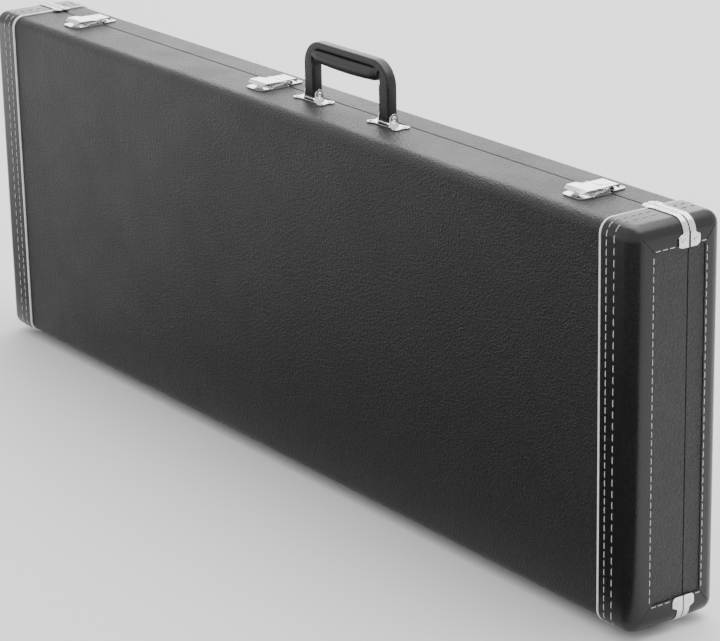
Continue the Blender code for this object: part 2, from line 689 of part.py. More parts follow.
def main():
    clear_scene()
    for name, side in (("base", BASE_SIDE), ("lid", LID_SIDE)):
        make_shell(f"{name}_shell", side)
        for where, end in (("left", -1), ("right", 1)):
            make_end_cap(f"{name}_end_cap_{where}", side, end)
            make_piping(f"{name}_piping_{where}", side, end)
            for level, way in (("top", 1), ("bottom", -1)):
                make_clamp(f"{name}_clamp_{level}_{where}", side, end, way)
    ring("base_rim", RIM_CLEAR, RIM_THICK, SEAM - RIM_ROOT, SEAM + RIM_REACH, WOOD)
    ring("base_lining", GAP, LINING, CAVITY_LOW.y + GAP, SEAM - RIM_ROOT - GAP, PLUSH, "low")
    ring("lid_lining", GAP, LINING, SEAM + RIM_REACH + 2 * GAP, CAVITY_HIGH.y - GAP, PLUSH, "high")
    make_neck_block()
    make_accessory_box()
    make_hinges()
    make_latches()
    make_handle()
    make_feet()


main()
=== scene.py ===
import json
import math

import bmesh
import bpy
from mathutils import Matrix, Vector


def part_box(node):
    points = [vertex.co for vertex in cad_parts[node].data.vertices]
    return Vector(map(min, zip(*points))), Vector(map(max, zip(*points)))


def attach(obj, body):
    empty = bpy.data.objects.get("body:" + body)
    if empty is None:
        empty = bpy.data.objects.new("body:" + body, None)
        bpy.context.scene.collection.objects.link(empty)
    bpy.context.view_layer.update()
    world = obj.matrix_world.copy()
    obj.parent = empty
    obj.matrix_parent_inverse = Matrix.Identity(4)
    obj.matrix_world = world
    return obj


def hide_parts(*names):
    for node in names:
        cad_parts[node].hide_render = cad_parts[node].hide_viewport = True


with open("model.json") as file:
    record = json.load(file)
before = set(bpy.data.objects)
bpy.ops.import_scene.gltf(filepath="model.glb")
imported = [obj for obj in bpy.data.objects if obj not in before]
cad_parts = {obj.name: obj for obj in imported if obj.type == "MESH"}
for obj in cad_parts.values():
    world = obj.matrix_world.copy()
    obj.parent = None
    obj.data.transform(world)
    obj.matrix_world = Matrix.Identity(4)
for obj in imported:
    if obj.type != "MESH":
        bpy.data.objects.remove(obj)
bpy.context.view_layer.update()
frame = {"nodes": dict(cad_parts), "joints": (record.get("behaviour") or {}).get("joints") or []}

# ---- places, from the CAD ----
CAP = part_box("base_end_cap_right")
LID_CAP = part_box("lid_end_cap_right")
BASE_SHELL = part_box("base_shell")
LID_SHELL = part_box("lid_shell")
HALF, INWARD = CAP[1].x, CAP[0].x
FRONT, BACK = CAP[0].y, LID_CAP[1].y
BOTTOM, TOP = CAP[0].z, CAP[1].z
SEAM = (BASE_SHELL[1].y + LID_SHELL[0].y) / 2
BODY_LOW = BASE_SHELL[0].copy()
BODY_HIGH = Vector((BASE_SHELL[1].x, LID_SHELL[1].y, BASE_SHELL[1].z))
SKIN = HALF - BODY_HIGH.x
EDGE_RADIUS = 0.0125
BODY_RADIUS = EDGE_RADIUS - SKIN
WALL = 0.005
CAVITY_LOW = BODY_LOW + Vector((WALL, WALL, WALL))
CAVITY_HIGH = BODY_HIGH - Vector((WALL, WALL, WALL))
GAP = 0.0003
SIDES = (("base", -1), ("lid", 1))
ENDS = (("left", -1), ("right", 1))
LATCHES = ("left", "middle", "right")
SHARP_ANGLE, BEVEL_ANGLE = math.radians(35), math.radians(30)


def up(w):
    """The height of a point w above the body's top face."""
    return BODY_HIGH.z + w


def middle_of(node):
    """The middle of a CAD node's box."""
    low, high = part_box(node)
    return (low + high) / 2


# ---- node materials ----
class Look:
    """A Principled material and the nodes that vary it. Object coordinates, in metres."""

    def __init__(self, name, colour, roughness, metallic=0.0, **inputs):
        self.material = bpy.data.materials.new(name)
        self.material.use_nodes = True
        self.nodes = self.material.node_tree.nodes
        self.links = self.material.node_tree.links
        self.shader = self.nodes["Principled BSDF"]
        self.shader.inputs["Base Color"].default_value = (*colour, 1)
        self.shader.inputs["Roughness"].default_value = roughness
        self.shader.inputs["Metallic"].default_value = metallic
        for key, value in inputs.items():
            self.shader.inputs[key.replace("_", " ")].default_value = value
        self.place = self.nodes.new("ShaderNodeTexCoord").outputs["Object"]
        self.normal = None

    def noise(self, scale, detail=4.0, rough=0.55, stretch=None):
        """A noise texture's value."""
        node = self.nodes.new("ShaderNodeTexNoise")
        node.inputs["Scale"].default_value = scale
        node.inputs["Detail"].default_value = detail
        node.inputs["Roughness"].default_value = rough
        place = self.place
        if stretch:
            mapping = self.nodes.new("ShaderNodeMapping")
            mapping.inputs["Scale"].default_value = stretch
            self.links.new(place, mapping.inputs["Vector"])
            place = mapping.outputs["Vector"]
        self.links.new(place, node.inputs["Vector"])
        return node.outputs["Fac"]

    def cells(self, scale, feature="F1", warp=None):
        """The distance in a cell pattern; warp is (scale, amount)."""
        node = self.nodes.new("ShaderNodeTexVoronoi")
        node.feature = feature
        node.inputs["Scale"].default_value = scale
        place = self.place
        if warp:
            wobble = self.nodes.new("ShaderNodeTexNoise")
            wobble.inputs["Scale"].default_value = warp[0]
            self.links.new(place, wobble.inputs["Vector"])
            shift = self.nodes.new("ShaderNodeVectorMath")
            shift.operation = "MULTIPLY_ADD"
            shift.inputs[1].default_value = (warp[1],) * 3
            self.links.new(wobble.outputs["Color"], shift.inputs[0])
            self.links.new(place, shift.inputs[2])
            place = shift.outputs[0]
        self.links.new(place, node.inputs["Vector"])
        return node.outputs["Distance"]

    def spread(self, value, low, high, out_low, out_high):
        """A value carried from one range to another."""
        node = self.nodes.new("ShaderNodeMapRange")
        for key, number in zip(("From Min", "From Max", "To Min", "To Max"),
                               (low, high, out_low, out_high)):
            node.inputs[key].default_value = number
        self.links.new(value, node.inputs["Value"])
        return node.outputs["Result"]

    def rough(self, value, low, high):
        """Lets a value set the roughness."""
        self.links.new(self.spread(value, 0.3, 0.7, low, high), self.shader.inputs["Roughness"])
        return self

    def tint(self, value, first, second, low=0.3, high=0.7):
        """Lets a value choose between two colours."""
        ramp = self.nodes.new("ShaderNodeValToRGB")
        ramp.color_ramp.elements[0].position = low
        ramp.color_ramp.elements[1].position = high
        ramp.color_ramp.elements[0].color = (*first, 1)
        ramp.color_ramp.elements[1].color = (*second, 1)
        self.links.new(value, ramp.inputs["Fac"])
        self.links.new(ramp.outputs["Color"], self.shader.inputs["Base Color"])
        return self

    def bump(self, value, depth, strength=1.0):
        """Adds a relief on top of those before it."""
        node = self.nodes.new("ShaderNodeBump")
        node.inputs["Distance"].default_value = depth
        node.inputs["Strength"].default_value = strength
        self.links.new(value, node.inputs["Height"])
        if self.normal:
            self.links.new(self.normal, node.inputs["Normal"])
        self.normal = node.outputs["Normal"]
        self.links.new(self.normal, self.shader.inputs["Normal"])
        return self


def grained_vinyl(name, colour, roughness, grain, depth, sheen_low, sheen_high, ripple=0.0004):
    """Vinyl with a pebble grain, finer noise on it and a slow ripple."""
    look = Look(name, colour, roughness, Specular_IOR_Level=0.42)
    pebble = look.cells(grain, "SMOOTH_F1", (grain * 0.6, 0.0022))
    look.bump(pebble, depth)
    look.bump(look.noise(grain * 3, 3), depth * 0.35)
    look.bump(look.noise(7, 1), ripple, 0.5)
    look.rough(look.noise(14, 5, 0.6), sheen_low, sheen_high)
    look.tint(look.noise(grain * 0.5, 4), tuple(c * 0.75 for c in colour),
              tuple(c * 1.35 for c in colour))
    return look.material


TOLEX = grained_vinyl("grained_black_vinyl", (0.013, 0.013, 0.014), 0.42, 620, 0.00085, 0.38, 0.48)
PANEL = grained_vinyl("end_panel_vinyl", (0.022, 0.022, 0.023), 0.44, 620, 0.00110, 0.38, 0.50)
SMOOTH = grained_vinyl("smooth_black_vinyl", (0.010, 0.010, 0.011), 0.28, 900, 0.00010, 0.22, 0.32, 0.0022)
STRAP = grained_vinyl("handle_vinyl", (0.012, 0.012, 0.012), 0.34, 700, 0.00014, 0.28, 0.42)


def make_looks():
    """The looks that several pieces share."""
    looks = {}
    look = Look("white_piping", (0.80, 0.79, 0.76), 0.32, Specular_IOR_Level=0.5)
    look.tint(look.noise(120, 3), (0.70, 0.69, 0.66), (0.86, 0.85, 0.82))
    look.bump(look.noise(700, 2), 0.0001)
    looks["piping"] = look.material
    look = Look("white_thread", (0.74, 0.73, 0.70), 0.62)
    look.tint(look.noise(600, 2), (0.42, 0.41, 0.40), (0.64, 0.63, 0.61))
    look.bump(look.noise(2600, 2, stretch=(1, 1, 0.35)), 0.0002)
    looks["thread"] = look.material
    look = Look("dark_thread", (0.03, 0.03, 0.03), 0.6)
    look.tint(look.noise(900, 2), (0.05, 0.05, 0.05), (0.09, 0.09, 0.09))
    looks["dark_thread"] = look.material
    look = Look("chrome", (0.86, 0.86, 0.87), 0.10, 1.0)
    look.rough(look.noise(220, 4), 0.07, 0.19)
    look.tint(look.noise(60, 3), (0.80, 0.80, 0.81), (0.90, 0.90, 0.91))
    look.bump(look.noise(260, 3), 0.00006)
    looks["chrome"] = look.material
    look = Look("nickel", (0.62, 0.61, 0.59), 0.28, 1.0)
    look.rough(look.noise(300, 4, stretch=(0.1, 1, 1)), 0.22, 0.40)
    look.tint(look.noise(90, 3), (0.52, 0.51, 0.49), (0.68, 0.67, 0.66))
    looks["nickel"] = look.material
    look = Look("black_plush", (0.02, 0.02, 0.022), 0.95, Sheen_Weight=0.6, Sheen_Roughness=0.4)
    look.tint(look.noise(260, 4), (0.012, 0.012, 0.014), (0.035, 0.035, 0.040))
    look.bump(look.noise(1800, 3), 0.0010)
    look.bump(look.noise(45, 3), 0.0010)
    looks["plush"] = look.material
    look = Look("plywood_edge", (0.45, 0.31, 0.18), 0.6)
    grain = look.noise(60, 6, 0.6, (0.08, 1, 1))
    look.tint(grain, (0.34, 0.22, 0.12), (0.55, 0.40, 0.25))
    look.bump(grain, 0.0003)
    looks["wood"] = look.material
    look = Look("black_rubber", (0.02, 0.02, 0.02), 0.7)
    look.rough(look.noise(200, 3), 0.6, 0.8)
    look.bump(look.noise(900, 2), 0.0001)
    looks["rubber"] = look.material
    return looks


LOOKS = make_looks()


# ---- mesh helpers ----
def mesh_of(bm, name="shape"):
    """A mesh from a bmesh, its faces turned outwards."""
    bmesh.ops.recalc_face_normals(bm, faces=bm.faces)
    mesh = bpy.data.meshes.new(name)
    bm.to_mesh(mesh)
    bm.free()
    return mesh


def box(low, high, radius=0.0, segments=6, only=None):
    """A box, its edges rounded. With only, just those that run along that axis."""
    bm = bmesh.new()
    bmesh.ops.create_cube(bm, size=1.0)
    low, high = Vector(low), Vector(high)
    size = high - low
    bmesh.ops.scale(bm, vec=size, verts=bm.verts)
    bmesh.ops.translate(bm, vec=(low + high) / 2, verts=bm.verts)
    if radius:
        edges = bm.edges[:]
        if only is not None:
            along = [e.verts[0].co - e.verts[1].co for e in edges]
            edges = [e for e, way in zip(edges, along) if abs(way[only]) > size[only] / 2]
        bmesh.ops.bevel(bm, geom=edges, offset=radius, segments=segments, profile=0.5,
                        affect="EDGES")
    return mesh_of(bm)


def cylinder(centre, axis, radius, length, sides=24):
    """A round bar centred on a point."""
    bm = bmesh.new()
    bmesh.ops.create_cone(
        bm, cap_ends=True, segments=sides, radius1=radius, radius2=radius, depth=length,
    )
    turn = Vector(axis).to_track_quat("Z", "Y").to_matrix().to_4x4()
    bmesh.ops.transform(bm, matrix=Matrix.Translation(centre) @ turn, verts=bm.verts)
    return mesh_of(bm)


def dome(centre, axis, radius, height, sides=20, rings=5):
    """A rivet's head: a flattened half ball that stands on a point, along an axis."""
    axis = Vector(axis).normalized()
    side = axis.orthogonal().normalized()
    other = axis.cross(side)
    sections = [(radius * 0.98, -0.0004), (radius, 0.0)]
    for i in range(1, rings + 1):
        angle = math.pi / 2 * i / (rings + 0.4)
        sections.append((radius * math.cos(angle), height * math.sin(angle)))
    return loft([
        [Vector(centre) + h * axis + r * (math.cos(a) * side + math.sin(a) * other)
         for a in (2 * math.pi * k / sides for k in range(sides))]
        for r, h in sections
    ])


def extruded(outline, axis, start, end):
    """An outline across one axis, pushed along it from start to end."""
    bm = bmesh.new()
    others = [a for a in range(3) if a != axis]
    ring = []
    for point in outline:
        co = [0.0, 0.0, 0.0]
        co[axis] = start
        co[others[0]], co[others[1]] = point
        ring.append(bm.verts.new(co))
    face = bm.faces.new(ring)
    grown = bmesh.ops.extrude_face_region(bm, geom=[face])
    way = [0.0, 0.0, 0.0]
    way[axis] = end - start
    verts = [v for v in grown["geom"] if isinstance(v, bmesh.types.BMVert)]
    bmesh.ops.translate(bm, vec=way, verts=verts)
    return mesh_of(bm)


def loft(sections):
    """A closed skin through rings of points, with a face over each end."""
    bm = bmesh.new()
    rings = [[bm.verts.new(co) for co in section] for section in sections]
    count = len(rings[0])
    for near, far in zip(rings, rings[1:]):
        for i in range(count):
            j = (i + 1) % count
            bm.faces.new((near[i], near[j], far[j], far[i]))
    bm.faces.new(rings[0])
    bm.faces.new(list(reversed(rings[-1])))
    return mesh_of(bm)


def merged(meshes):
    """Several meshes as one, not joined at their faces."""
    bm = bmesh.new()
    for mesh in meshes:
        bm.from_mesh(mesh)
    made = bpy.data.meshes.new("merged")
    bm.to_mesh(made)
    bm.free()
    return made


def moved(mesh, by):
    """The same mesh, shifted."""
    mesh.transform(Matrix.Translation(by))
    return mesh


def linked(name, data):
    """A new object in the scene."""
    obj = bpy.data.objects.new(name, data)
    bpy.context.scene.collection.objects.link(obj)
    return obj


def cut(mesh, others):
    """A mesh less several others."""
    body = linked("work", mesh)
    tools = [linked("tool", other) for other in others]
    for tool in tools:
        modifier = body.modifiers.new("boolean", "BOOLEAN")
        modifier.operation = "DIFFERENCE"
        modifier.solver = "EXACT"
        modifier.object = tool
    bpy.context.view_layer.update()
    graph = bpy.context.evaluated_depsgraph_get()
    result = bpy.data.meshes.new_from_object(body.evaluated_get(graph))
    for obj in [body, *tools]:
        bpy.data.objects.remove(obj, do_unlink=True)
    return result


def arc(centre, radius, start, end, steps):
    """Points on an arc, from one angle in degrees to another."""
    found = []
    for i in range(steps + 1):
        angle = math.radians(start + (end - start) * i / steps)
        found.append((centre[0] + radius * math.cos(angle), centre[1] + radius * math.sin(angle)))
    return found


def side_cutter(side):
    """All that lies across the seam from one shell, and the gap before it."""
    if side < 0:
        return box((-1, SEAM - GAP, -1), (1, 1, 1))
    return box((-1, -1, -1), (1, SEAM + GAP, 1))


def piece(name, mesh, look, body, replaces=(), bevel=0.0, segments=2):
    """A finished piece: bevelled, shaded smooth, riding on its body."""
    obj = linked(name, mesh)
    mesh.materials.clear()
    mesh.materials.append(look)
    mesh.shade_smooth()
    mesh.set_sharp_from_angle(angle=SHARP_ANGLE)
    if bevel:
        modifier = obj.modifiers.new("edges", "BEVEL")
        modifier.width = bevel
        modifier.segments = segments
        modifier.limit_method = "ANGLE"
        modifier.angle_limit = BEVEL_ANGLE
        modifier.harden_normals = True
    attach(obj, body)
    if replaces:
        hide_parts(*replaces)
    return obj


# ---- thread ----
def path_points(points, step=0.001):
    """(place, length so far) every step along a polyline."""
    found, total = [(Vector(points[0]), 0.0)], 0.0
    for near, far in zip(points, points[1:]):
        near, far = Vector(near), Vector(far)
        length = (far - near).length
        count = max(1, round(length / step))
        for i in range(1, count + 1):
            found.append((near.lerp(far, i / count), total + length * i / count))
        total += length
    return found, total


def stitches(points, normal_at, pitch, dash, radius, sides=6):
    """Dashes of thread along a polyline. Each is a thin bar whose ends dip into the skin."""
    dense, total = path_points(points)
    meshes = []
    count = int((total - dash) / pitch)
    margin = (total - count * pitch - dash) / 2

    def at(distance):
        index = min(range(len(dense)), key=lambda i: abs(dense[i][1] - distance))
        return dense[index][0]

    for k in range(count + 1):
        start = margin + k * pitch
        sections = []
        for share, lift, size in ((0.0, -0.6, 0.5), (0.12, 0.2, 0.9), (0.35, 0.55, 1.0),
                                  (0.65, 0.55, 1.0), (0.88, 0.2, 0.9), (1.0, -0.6, 0.5)):
            spot = at(start + dash * share)
            normal = normal_at(spot)
            along = (at(start + dash * min(1, share + 0.2)) - at(start + dash * max(0, share - 0.2)))
            across = along.normalized().cross(normal)
            centre = spot + normal * radius * lift
            sections.append([
                centre + radius * size * (math.cos(a) * across + 0.8 * math.sin(a) * normal)
                for a in (2 * math.pi * i / sides for i in range(sides))
            ])
        meshes.append(loft(sections))
    return merged(meshes)


def wrap_normal(radius, low, high):
    """The outward direction at a point on a box rounded in the Y-Z plane."""
    def normal_at(spot):
        y = max(low.y + radius, min(high.y - radius, spot.y))
        z = max(low.z + radius, min(high.z - radius, spot.z))
        way = Vector((0, spot.y - y, spot.z - z))
        return way.normalized() if way.length > 1e-6 else Vector((0, 0, 1))
    return normal_at


def wrap_path(side, radius, low, high, x, from_seam):
    """Points round one shell at one x, from the seam on the top to the seam on the bottom."""
    face = low.y if side < 0 else high.y
    centre_y = face - side * radius
    out = 180 if side < 0 else 0
    seam_y = SEAM + side * from_seam
    ring = [
        (seam_y, high.z),
        *arc((centre_y, high.z - radius), radius, 90, out, 8),
        *arc((centre_y, low.z + radius), radius, out, 270 if side < 0 else -90, 8),
        (seam_y, low.z),
    ]
    return [(x, y, z) for y, z in ring]


# ---- shells, caps, piping ----
CASE_LOW, CASE_HIGH = Vector((-HALF, FRONT, BOTTOM)), Vector((HALF, BACK, TOP))
BORDER_FRONT, BORDER_BACK, BORDER_Z = 0.0228, 0.0198, 0.0240
RECESS = 0.0007
THREAD = 0.00042
CAP_ROWS = ((0.0335, 0.0080, 0.0060), (0.0240, 0.0100, 0.0076))  # inset, pitch, dash
FACE_PITCH, FACE_DASH, FACE_INSET, ROW_GAP = 0.0078, 0.0058, 0.0018, 0.003


def make_shell(name, side):
    """One half of the plywood box under its grained vinyl."""
    outer = box(BODY_LOW, BODY_HIGH, BODY_RADIUS, 8)
    inner = box(CAVITY_LOW, CAVITY_HIGH, 0.008, 4, 1)
    shell = cut(outer, [inner, side_cutter(side)])
    piece(f"{name}_vinyl_skin", shell, TOLEX, name, [f"{name}_shell"], 0.0009, 2)


def make_end_cap(name, side, where, end):
    """Vinyl folded over one end: band, rounded corners and a border on the end's face."""
    outer = box(CASE_LOW, CASE_HIGH, EDGE_RADIUS, 8)
    gap = Vector((0.0002, 0.0002, 0.0002))
    body = box(BODY_LOW - gap, BODY_HIGH + gap, BODY_RADIUS + 0.0002, 8)
    low, high = sorted((-end * 1.0, end * INWARD))
    middle = box((low, -1, -1), (high, 1, 1))
    if side < 0:
        y_low, y_high = FRONT + BORDER_FRONT, 1
    else:
        y_low, y_high = -1, BACK - BORDER_BACK
    x_low, x_high = sorted((end * (HALF - 0.004), end * (HALF + 0.01)))
    window = box((x_low, y_low, BOTTOM + BORDER_Z), (x_high, y_high, TOP - BORDER_Z), 0.002, 3, 0)
    cutters = [middle, side_cutter(side), window]
    corner_y = FRONT if side < 0 else BACK
    stitch_y = FRONT + BORDER_FRONT if side < 0 else BACK - BORDER_BACK
    for z_corner, z_stitch in ((TOP, TOP - BORDER_Z), (BOTTOM, BOTTOM + BORDER_Z)):
        near = Vector((0, corner_y, z_corner))
        far = Vector((0, stitch_y, z_stitch))
        way = far - near
        mitre = box((-0.0006, -0.00022, -0.5 * way.length), (0.0006, 0.00022, 0.5 * way.length))
        turn = Matrix.Rotation(math.atan2(-way.y, way.z), 4, "X")
        mitre.transform(Matrix.Translation((end * HALF, *((near + far) / 2).yz)) @ turn)
        cutters.append(mitre)
    cap = cut(cut(outer, cutters), [body])
    piece(f"{name}_cap_vinyl_{where}", cap, SMOOTH, name,
          [f"{name}_end_cap_{where}"], 0.0005, 3)
    # the grained panel that the border frames
    panel_x = sorted((end * (HALF - SKIN + 0.0001), end * (HALF - RECESS)))
    y_low = max(y_low, SEAM + GAP) if side > 0 else y_low
    y_high = min(y_high, SEAM - GAP) if side < 0 else y_high
    panel = box((panel_x[0], y_low + 0.0001, BOTTOM + BORDER_Z + 0.0001),
                (panel_x[1], y_high - 0.0001, TOP - BORDER_Z - 0.0001))
    piece(f"{name}_end_panel_{where}", panel, PANEL, name, (), 0.0004, 2)
    make_cap_thread(name, side, where, end)


def make_cap_thread(name, side, where, end):
    """Two rows round the case, and one along the border on the end's face, open at the seam."""
    wrap = wrap_normal(EDGE_RADIUS, CASE_LOW, CASE_HIGH)
    rows = []
    for inset, pitch, dash in CAP_ROWS:
        path = wrap_path(side, EDGE_RADIUS, CASE_LOW, CASE_HIGH, end * (HALF - inset), 0.0085)
        rows.append(stitches(path, wrap, pitch, dash, THREAD))
    y = FRONT + BORDER_FRONT - FACE_INSET if side < 0 else BACK - BORDER_BACK + FACE_INSET
    x, seam_y = end * HALF, SEAM + side * 0.0130
    high, low = TOP - BORDER_Z + FACE_INSET, BOTTOM + BORDER_Z - FACE_INSET
    face = Vector((end, 0, 0))
    for run in (((x, seam_y, high), (x, y, high)),
                ((x, y, high - ROW_GAP), (x, y, low + ROW_GAP)),
                ((x, y, low), (x, seam_y, low))):
        rows.append(stitches(run, lambda _: face, FACE_PITCH, FACE_DASH, THREAD))
    piece(f"{name}_cap_stitching_{where}", merged(rows), LOOKS["thread"], name)


def make_piping(name, side, where, end):
    """The white cord beside an end cap."""
    radius = 0.0012
    x = end * (INWARD - radius - GAP)
    rise = Vector((0, radius, radius))
    low, high = BODY_LOW - rise * 0.6, BODY_HIGH + rise * 0.6
    path = wrap_path(side, BODY_RADIUS + radius * 0.6, low, high, x, 0.0008)
    dense, _ = path_points(path, 0.02)
    curve = bpy.data.curves.new(f"{name}_piping_cord_{where}", "CURVE")
    curve.dimensions = "3D"
    curve.bevel_depth = radius
    curve.bevel_resolution = 5
    curve.use_fill_caps = True
    spline = curve.splines.new("POLY")
    spline.points.add(len(dense) - 1)
    for point, (spot, _) in zip(spline.points, dense):
        point.co = (*spot, 1)
    curve.materials.append(LOOKS["piping"])
    obj = linked(curve.name, curve)
    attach(obj, name)
    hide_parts(f"{name}_piping_{where}")


# ---- corner clamps ----
CLAMP_TAB, CLAMP_WAIST, CLAMP_FOOT, CLAMP_TOE = 0.0085, 0.0062, 0.0113, 0.0065
def smooth_step(value):
    """Eases from 0 to 1."""
    value = max(0.0, min(1.0, value))
    return value * value * (3 - 2 * value)


def make_clamp(name, side, where, end, level, way):
    """A bent chrome strip beside the seam, its two ends flared and riveted."""
    cad_low, cad_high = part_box(f"{name}_clamp_{level}_{where}")
    face = TOP if way > 0 else BOTTOM
    back = HALF - min(abs(cad_low.x), abs(cad_high.x))
    drop = abs(face - (cad_low.z if way > 0 else cad_high.z))
    lift, sheet = 0.00025, 0.0012
    radius = EDGE_RADIUS + lift
    flat_top, flat_end = back - EDGE_RADIUS, drop - EDGE_RADIUS
    bend = radius * math.pi / 2
    total = flat_top + bend + flat_end

    def place(s):
        if s < flat_top:
            return Vector((end * (HALF - back + s), 0, face + way * lift)), Vector((0, 0, way))
        if s < flat_top + bend:
            angle = (s - flat_top) / radius
            normal = Vector((end * math.sin(angle), 0, way * math.cos(angle)))
            centre = Vector((end * (HALF - EDGE_RADIUS), 0, face - way * EDGE_RADIUS))
            return centre + radius * normal, normal
        down = EDGE_RADIUS + s - flat_top - bend
        return Vector((end * (HALF + lift), 0, face - way * down)), Vector((end, 0, 0))

    def width(s):
        foot_start, toe_start = total - 0.0125, total - 0.004
        if s < 0.005:
            wide = CLAMP_TAB * math.sqrt(max(0.0, 1 - ((s - 0.005) / 0.0052) ** 2))
        elif s < 0.0085:
            wide = CLAMP_TAB
        elif s < 0.013:
            wide = CLAMP_TAB + (CLAMP_WAIST - CLAMP_TAB) * smooth_step((s - 0.0085) / 0.0045)
        elif s < foot_start:
            wide = CLAMP_WAIST
        elif s < toe_start:
            wide = CLAMP_WAIST + (CLAMP_FOOT - CLAMP_WAIST) * smooth_step((s - foot_start) / 0.0035)
        else:
            share = (s - toe_start) / 0.0042
            wide = CLAMP_TOE + (CLAMP_FOOT - CLAMP_TOE) * math.sqrt(max(0.0, 1 - share * share))
        return max(wide, 0.0015)

    near = SEAM + side * 0.00055
    stops = sorted({0.0, total, *[i * total / 90 for i in range(91)],
                    *[0.0004 * i for i in range(8)], *[total - 0.0004 * i for i in range(8)]})
    edge = 0.00035
    sections = []
    for s in stops:
        spot, normal = place(s)
        far = width(s)
        profile = ((0, 0), (far, 0), (far, sheet - 2 * edge), (far - 2 * edge, sheet - edge * 0.6),
                   (far * 0.66, sheet), (far * 0.52, sheet - edge), (far * 0.38, sheet),
                   (2 * edge, sheet - edge * 0.6), (0, sheet - 2 * edge))
        sections.append([
            Vector((spot.x, near + side * across, spot.z)) + height * normal
            for across, height in profile
        ])
    parts = [loft(sections)]
    for s, across, size in ((0.0055, 0.0045, 0.0020), (total - 0.0062, 0.0058, 0.0023)):
        spot, normal = place(s)
        spot = Vector((spot.x, near + side * across, spot.z)) + sheet * normal
        parts.append(dome(spot, normal, size, 0.0008))
    piece(f"{name}_corner_clamp_{level}_{where}", merged(parts), LOOKS["chrome"], name,
          [f"{name}_clamp_{level}_{where}"])


# ---- latches ----
SHEET = 0.0012


class Latch:
    """What a latch's four pieces share. Each is shaped about x = 0 and then moved to the latch."""

    def __init__(self, where):
        self.where = where
        self.low, self.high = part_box(f"latch_base_{where}")
        self.floor = self.low.z
        self.pin = middle_of(f"latch_link_pin_{where}")
        self.link_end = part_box(f"latch_link_{where}")[1].y
        joint = next(j for j in frame["joints"] if j["name"] == f"latch_lever_{where}_turn")
        self.pivot = Vector(joint["pos_m"])
        self.place = Vector(((self.low.x + self.high.x) / 2, 0, 0))

    def finish(self, name, parts, body, nodes, bevel):
        """The parts as one chrome piece, in its place."""
        mesh = moved(merged(parts), self.place)
        piece(f"latch_{self.where}_{name}", mesh, LOOKS["chrome"], body,
              [f"latch_{node}_{self.where}" for node in nodes], bevel)


def make_latch_tray(latch):
    """A plate with a round nose, two ears with the pivot's heads, and a rivet."""
    pivot, floor, rear = latch.pivot, latch.floor, latch.high.y
    half = (latch.high.x - latch.low.x) / 2
    front = latch.low.y
    nose = [(x, max(y, front)) for x, y in arc((0, front + 0.0100), half, 200, 340, 24)]
    parts = [extruded([(-half, rear), *nose, (half, rear)], 2, floor, floor + SHEET)]
    for way in (-1, 1):
        ear = [
            (pivot.y - 0.0155, floor + 0.0002), (pivot.y - 0.0150, floor + 0.0021),
            (pivot.y - 0.0105, floor + 0.0033), (pivot.y - 0.0035, pivot.z - 0.0004),
            *arc((pivot.y, pivot.z), 0.0022, 150, 0, 10), (pivot.y + 0.0022, floor + 0.0002),
        ]
        x_low, x_high = sorted((way * 0.0129, way * 0.0139))
        parts.append(extruded(ear, 0, x_low, x_high))
        parts.append(dome((way * 0.0139, pivot.y, pivot.z), (way, 0, 0), 0.0016, 0.0001))
    parts.append(dome((0, rear - 0.0040, floor + SHEET), (0, 0, 1), 0.0022, 0.0008))
    latch.finish("tray", parts, "base", ["base"], 0.00025)


def make_latch_lever(latch):
    """A nose plate that dips to a finger lip, two arms to the pivot, and the link's pin."""
    pin, pivot = latch.pin, latch.pivot
    low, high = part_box(f"latch_lever_{latch.where}")
    top, wide = high.z, (high.x - low.x) / 2
    start, stop = low.y, pin.y - 0.0026
    sections = []
    for i in range(17):
        share = i / 16
        y = start + (stop - start) * share
        dip = 0.0022 * (1 - smooth_step(share / 0.34)) ** 1.4
        narrow = wide * (0.80 + 0.20 * math.sqrt(min(1.0, share / 0.30)))
        camber = 0.0003
        upper = [(narrow * t, top - dip - camber * t * t) for t in (-1, -0.6, -0.2, 0.2, 0.6, 1)]
        lower = [(a, h - 0.0010) for a, h in reversed(upper)]
        sections.append([Vector((a, y, h)) for a, h in [*upper, *lower]])
    parts = [loft(sections)]
    for way in (-1, 1):
        arm = [
            (start + 0.0050, top - 0.0012), (pin.y - 0.0040, pivot.z - 0.0016),
            (pivot.y - 0.0012, pivot.z - 0.0018), *arc((pivot.y, pivot.z), 0.0018, -90, 90, 10),
            (pin.y + 0.0030, top - 0.0014), (pin.y - 0.0020, top - 0.0006),
        ]
        x_low, x_high = sorted((way * 0.0113, way * 0.0123))
        parts.append(extruded(arm, 0, x_low, x_high))
        parts.append(cylinder((way * 0.0127, pivot.y, pivot.z), (1, 0, 0), 0.0012, 0.0022))
    parts.append(cylinder((0, pin.y, pin.z), (1, 0, 0), 0.0010, 0.0244))
    latch.finish("handle", parts, f"lever_{latch.where}", ["lever", "link_pin"], 0.0003)


def make_latch_link(latch):
    """A ribbed plate rolled round its pin, its far edge rolled down over the catch."""
    pin, end = latch.pin, latch.link_end
    low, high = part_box(f"latch_link_{latch.where}")
    half, top = (high.x - low.x) / 2, high.z
    roll = 0.0016
    outline = [
        *arc((pin.y, pin.z), 0.0022, 90, 330, 16), (pin.y + 0.0040, top - 0.0011),
        (end - 2 * roll, top - 0.0011),
        *arc((end - roll, top - roll), roll - 0.0001, 180, 360, 10),
        *arc((end - roll, top - roll), roll, 0, 90, 6), (pin.y + 0.0030, top),
    ]
    plate = extruded(outline, 0, -half, half)
    rib = box((-half * 0.55, pin.y + 0.0075, top - 0.0006),
              (half * 0.55, end - 0.0060, top + 0.00035), 0.0006, 3)
    latch.finish("hasp", [plate, rib], f"link_{latch.where}", ["link"], 0.0002)


